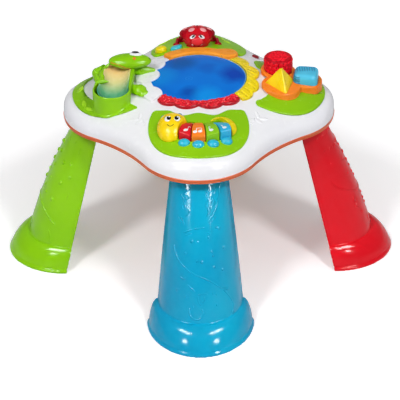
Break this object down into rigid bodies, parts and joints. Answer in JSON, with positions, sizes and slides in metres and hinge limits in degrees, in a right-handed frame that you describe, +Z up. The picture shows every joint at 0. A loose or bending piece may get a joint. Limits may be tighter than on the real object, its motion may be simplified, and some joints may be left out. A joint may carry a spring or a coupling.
{
  "type": "baby activity table",
  "caption": "Domed four-lobed play table on channel legs, with press keys, animal buttons, a chute frog, a shape sorter and a lit water screen.",
  "frame": {"origin": "on the floor, under the middle of the table top", "axes": "+Z up, +X to the right-hand lobe with the shape sorter, -Y to the front lobe with the music keys"},
  "size_m": [0.6474, 0.6474, 0.3598],
  "materials": {
    "white_plastic": "glossy",
    "orange_plastic": "glossy",
    "orange_rim_plastic": "satin",
    "blue_plastic": "glossy",
    "leg_green_plastic": "glossy",
    "red_plastic": "glossy",
    "yellow_plastic": "glossy",
    "lime_plastic": "glossy",
    "light_blue_plastic": "glossy",
    "dark_red_plastic": "glossy",
    "peach_plastic": "glossy",
    "eye_plastic": "glossy",
    "screen_plastic": "glossy, translucent",
    "circuit_board": "matt",
    "mat_rubber": "matt",
    "steel": "satin",
    "cell_jacket": "satin",
    "black_plastic": "matt"
  },
  "bodies": {
    "table": {"top_shell": "white_plastic", "bottom_shell": "orange_rim_plastic", "leg_front": "blue_plastic", "leg_left": "leg_green_plastic", "leg_right": "red_plastic", "leg_back": "yellow_plastic", "plate_front": "lime_plastic", "plate_left": "lime_plastic", "plate_right": "lime_plastic", "plate_back": "lime_plastic", "band_red": "red_plastic", "band_yellow": "yellow_plastic", "band_orange": "orange_plastic", "cloud_trim": "white_plastic", "screen_lens": "screen_plastic", "lamp_board": "circuit_board", "worm_head": "yellow_plastic", "worm_antennae": "light_blue_plastic", "worm_tail": "yellow_plastic", "worm_feet": "light_blue_plastic", "key_rod": "steel", "key_board": "circuit_board", "key_mat": "mat_rubber", "ladybug_legs": "dark_red_plastic", "back_board": "circuit_board", "back_mat": "mat_rubber", "frog_body": "lime_plastic", "belly_slide": "peach_plastic", "frog_head": "lime_plastic", "frog_eyes": "eye_plastic", "frog_arm_left": "lime_plastic", "frog_arm_right": "lime_plastic", "frog_foot": "lime_plastic", "sorter_stump": "orange_plastic", "switch_bezel": "dark_red_plastic", "switch_body": "black_plastic", "batteries": "cell_jacket", "battery_contacts": "steel", "battery_door": "orange_rim_plastic", "door_screw": "steel", "case_screws": "steel", "speaker": "black_plastic", "main_board": "circuit_board"},
    "key_red": {"key_red": "red_plastic"},
    "key_orange": {"key_orange": "orange_plastic"},
    "key_green": {"key_green": "lime_plastic"},
    "key_blue": {"key_blue": "light_blue_plastic"},
    "ladybug": {"ladybug_body": "red_plastic", "ladybug_wings": "dark_red_plastic"},
    "button_yellow": {"button_yellow": "yellow_plastic"},
    "button_leaf": {"button_leaf": "light_blue_plastic"},
    "block_round": {"block_round": "red_plastic"},
    "block_triangle": {"block_triangle": "yellow_plastic"},
    "block_square": {"block_square": "light_blue_plastic"},
    "switch": {"switch_knob": "dark_red_plastic"}
  },
  "joints": [
    {"name": "press_red", "type": "hinge", "parent": "table", "child": "key_red", "pos_m": [0, -0.141, 0.29813], "axis": [1, 0, 0], "range_deg": [0, 3.5], "stiffness_Nm_per_rad": 0.6, "springref_deg": -2.86},
    {"name": "press_orange", "type": "hinge", "parent": "table", "child": "key_orange", "pos_m": [0, -0.141, 0.29813], "axis": [1, 0, 0], "range_deg": [0, 3.5], "stiffness_Nm_per_rad": 0.6, "springref_deg": -2.86},
    {"name": "press_green", "type": "hinge", "parent": "table", "child": "key_green", "pos_m": [0, -0.141, 0.29813], "axis": [1, 0, 0], "range_deg": [0, 3.5], "stiffness_Nm_per_rad": 0.6, "springref_deg": -2.86},
    {"name": "press_blue", "type": "hinge", "parent": "table", "child": "key_blue", "pos_m": [0, -0.141, 0.29813], "axis": [1, 0, 0], "range_deg": [0, 3.5], "stiffness_Nm_per_rad": 0.6, "springref_deg": -2.86},
    {"name": "press_ladybug", "type": "slide", "parent": "table", "child": "ladybug", "axis": [0, 0, -1], "range_m": [0, 0.003], "stiffness_N_per_m": 800, "springref_m": -0.001},
    {"name": "press_yellow", "type": "slide", "parent": "table", "child": "button_yellow", "axis": [0, 0, -1], "range_m": [0, 0.0025], "stiffness_N_per_m": 500, "springref_m": -0.001},
    {"name": "press_leaf", "type": "slide", "parent": "table", "child": "button_leaf", "axis": [0, 0, -1], "range_m": [0, 0.0025], "stiffness_N_per_m": 500, "springref_m": -0.001},
    {"name": "lift_round", "type": "slide", "parent": "table", "child": "block_round", "axis": [0, 0, 1], "range_m": [0, 0.045]},
    {"name": "lift_triangle", "type": "slide", "parent": "table", "child": "block_triangle", "axis": [0, 0, 1], "range_m": [0, 0.045]},
    {"name": "lift_square", "type": "slide", "parent": "table", "child": "block_square", "axis": [0, 0, 1], "range_m": [0, 0.045]},
    {"name": "slide_switch", "type": "slide", "parent": "table", "child": "switch", "axis": [0.7071, -0.7071, 0], "range_m": [0, 0.006]}
  ]
}
